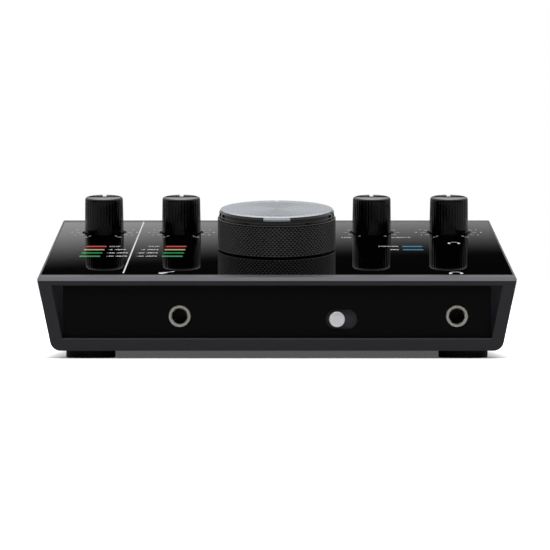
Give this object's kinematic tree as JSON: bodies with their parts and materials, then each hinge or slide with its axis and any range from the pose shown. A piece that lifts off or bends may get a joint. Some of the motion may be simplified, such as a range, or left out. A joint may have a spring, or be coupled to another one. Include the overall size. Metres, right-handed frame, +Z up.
{
  "type": "desktop audio interface",
  "caption": "Wedge-shaped desktop audio interface with turning knobs, a large level dial, front jacks, a slide switch and a recessed rear connector panel.",
  "frame": {"origin": "middle of the housing's depth and width, on the desk under the feet", "axes": "+Z up, the front panel faces -Y, +X to the right as the user sees it"},
  "size_m": [0.2026, 0.15, 0.0726],
  "materials": {
    "case_paint": "fine satin black paint",
    "sheet_acrylic": "high gloss black",
    "panel_black": "smooth satin black",
    "window_acrylic": "smoked window",
    "led_body": "clear moulded",
    "board_laminate": "green solder mask",
    "screw_steel": "zinc plated",
    "screw_black": "black oxide",
    "plate_steel": "tin plated",
    "component_black": "moulded",
    "slider_grey": "moulded, fine texture",
    "spun_aluminium": "spun, anodised grey",
    "foot_rubber": "matt black",
    "pot_metal": "plated",
    "shaft_metal": "turned",
    "knob_black": "satin black, fluted or knurled",
    "pointer_white": "white inlay",
    "jack_plastic": "moulded black",
    "sleeve_nickel": "bright nickel"
  },
  "bodies": {
    "housing": {"board_components": "component_black", "board_link": "component_black", "board_screws": "screw_steel", "case_cover": "case_paint", "case_screws": "screw_black", "case_tub": "case_paint", "combo_core": "jack_plastic", "combo_housing": "jack_plastic", "combo_screws": "screw_black", "control_board": "board_laminate", "foot_front_left": "foot_rubber", "foot_front_right": "foot_rubber", "foot_rear_left": "foot_rubber", "foot_rear_right": "foot_rubber", "front_frame": "case_paint", "front_panel": "panel_black", "jack_headphone_body": "jack_plastic", "jack_headphone_sleeve": "sleeve_nickel", "jack_instrument_body": "jack_plastic", "jack_instrument_sleeve": "sleeve_nickel", "jack_line_in_body": "jack_plastic", "jack_line_in_sleeve": "sleeve_nickel", "jack_out_left_body": "jack_plastic", "jack_out_left_sleeve": "sleeve_nickel", "jack_out_right_body": "jack_plastic", "jack_out_right_sleeve": "sleeve_nickel", "leds": "led_body", "light_windows": "window_acrylic", "lock_plate": "plate_steel", "main_board": "board_laminate", "pot_headphones": "pot_metal", "pot_input_1": "pot_metal", "pot_input_2": "pot_metal", "pot_mix": "pot_metal", "pot_output": "pot_metal", "rear_frame": "case_paint", "rear_jack_nuts": "sleeve_nickel", "rear_panel": "panel_black", "shield_can": "plate_steel", "switch_body": "component_black", "top_sheet": "sheet_acrylic", "usb_port": "plate_steel"},
    "input_1_control": {"knob_input_1": "knob_black", "pointer_input_1": "pointer_white", "shaft_input_1": "shaft_metal"},
    "input_2_control": {"knob_input_2": "knob_black", "pointer_input_2": "pointer_white", "shaft_input_2": "shaft_metal"},
    "mix_control": {"knob_mix": "knob_black", "pointer_mix": "pointer_white", "shaft_mix": "shaft_metal"},
    "headphones_control": {"knob_headphones": "knob_black", "pointer_headphones": "pointer_white", "shaft_headphones": "shaft_metal"},
    "output_control": {"knob_output": "knob_black", "pointer_output": "pointer_white", "shaft_output": "shaft_metal", "knob_output_cap": "spun_aluminium"},
    "mode_control": {"switch_slider": "slider_grey", "switch_button": "spun_aluminium"}
  },
  "joints": [
    {"name": "input_1_turn", "type": "hinge", "parent": "housing", "child": "input_1_control", "pos_m": [-0.0797, 0.0396, 0.05493], "axis": [0, -0.1797, 0.9837], "range_deg": [-150, 150]},
    {"name": "input_2_turn", "type": "hinge", "parent": "housing", "child": "input_2_control", "pos_m": [-0.044, 0.0396, 0.05493], "axis": [0, -0.1797, 0.9837], "range_deg": [-150, 150]},
    {"name": "mix_turn", "type": "hinge", "parent": "housing", "child": "mix_control", "pos_m": [0.044, 0.0396, 0.05493], "axis": [0, -0.1797, 0.9837], "range_deg": [-150, 150]},
    {"name": "headphones_turn", "type": "hinge", "parent": "housing", "child": "headphones_control", "pos_m": [0.0797, 0.0396, 0.05493], "axis": [0, -0.1797, 0.9837], "range_deg": [-150, 150]},
    {"name": "output_turn", "type": "hinge", "parent": "housing", "child": "output_control", "pos_m": [0, -0.0037, 0.04702], "axis": [0, -0.1797, 0.9837], "range_deg": [-150, 150]},
    {"name": "mode_slide", "type": "slide", "parent": "housing", "child": "mode_control", "axis": [1, 0, 0], "range_m": [0, 0.004]}
  ]
}
